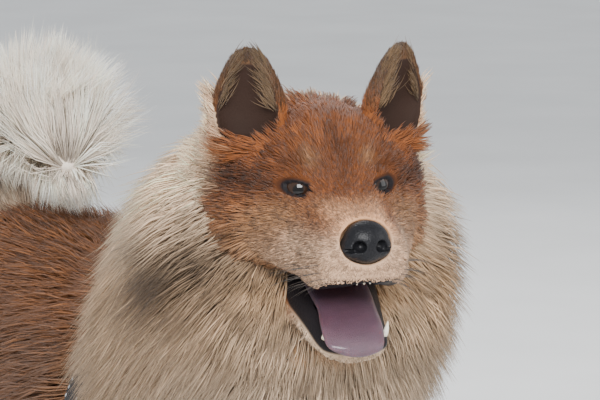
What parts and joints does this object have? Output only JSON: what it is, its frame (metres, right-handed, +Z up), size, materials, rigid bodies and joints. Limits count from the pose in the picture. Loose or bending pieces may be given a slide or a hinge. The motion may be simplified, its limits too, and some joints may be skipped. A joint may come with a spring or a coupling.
{
  "type": "eurasier dog",
  "caption": "Life-size still model of a standing chow-type spitz dog with a thick red coat, open mouth, curled plume tail and chest harness.",
  "frame": {"origin": "centre of the bounding box at floor level", "axes": "-Y the way the dog stands facing, +X its left side, +Z up"},
  "size_m": [0.2856, 0.7828, 0.75],
  "materials": {
    "red_coat": "long hair, matte",
    "pale_coat": "long hair, matte",
    "dark_skin": "damp satin",
    "tongue_skin": "wet",
    "eye": "gloss",
    "webbing": "woven, matte",
    "buckle": "moulded, matte"
  },
  "bodies": {
    "root": {"head": "red_coat", "lower_jaw": "pale_coat", "nose": "dark_skin", "tongue": "tongue_skin", "ear_left": "red_coat", "eye_left": "eye", "ear_right": "red_coat", "eye_right": "eye", "neck": "red_coat", "torso": "red_coat", "tail": "pale_coat", "harness_band": "webbing", "harness_buckle": "buckle", "fore_upper_left": "red_coat", "fore_lower_left": "pale_coat", "fore_paw_left": "pale_coat", "hind_upper_left": "red_coat", "hind_lower_left": "pale_coat", "hind_paw_left": "pale_coat", "fore_upper_right": "red_coat", "fore_lower_right": "pale_coat", "fore_paw_right": "pale_coat", "hind_upper_right": "red_coat", "hind_lower_right": "pale_coat", "hind_paw_right": "pale_coat"}
  },
  "joints": []
}
